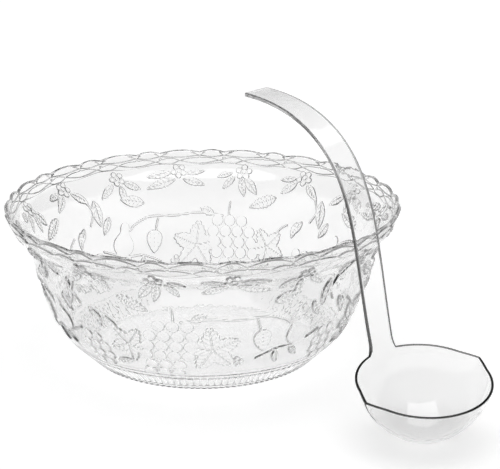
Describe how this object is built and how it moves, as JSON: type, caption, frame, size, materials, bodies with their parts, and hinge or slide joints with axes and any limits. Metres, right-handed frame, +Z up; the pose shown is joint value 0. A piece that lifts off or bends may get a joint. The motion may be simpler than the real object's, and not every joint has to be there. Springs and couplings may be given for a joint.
{
  "type": "punch bowl with ladle",
  "caption": "Wide clear plastic punch bowl with a flared scalloped lip, fruit-and-vine relief and ribbed foot, with a one-piece ladle whose hooked strap handle reaches over the lip.",
  "frame": {"origin": "centre of the bowl's flat underside, on the table", "axes": "+Z up along the bowl's axis; the ladle stands towards +X and -Y, which is the front right"},
  "size_m": [0.4146, 0.4402, 0.2537],
  "materials": {
    "clear_bowl_plastic": "colourless clear moulded polystyrene, polished, with relief on the outer side",
    "clear_ladle_plastic": "colourless clear moulded polystyrene, polished and smooth"
  },
  "bodies": {
    "bowl": {"bowl": "clear_bowl_plastic"},
    "ladle": {"ladle": "clear_ladle_plastic"}
  },
  "joints": [
    {"name": "ladle_lift", "type": "slide", "parent": "bowl", "child": "ladle", "axis": [0, 0, 1], "range_m": [0, 0.2]}
  ]
}
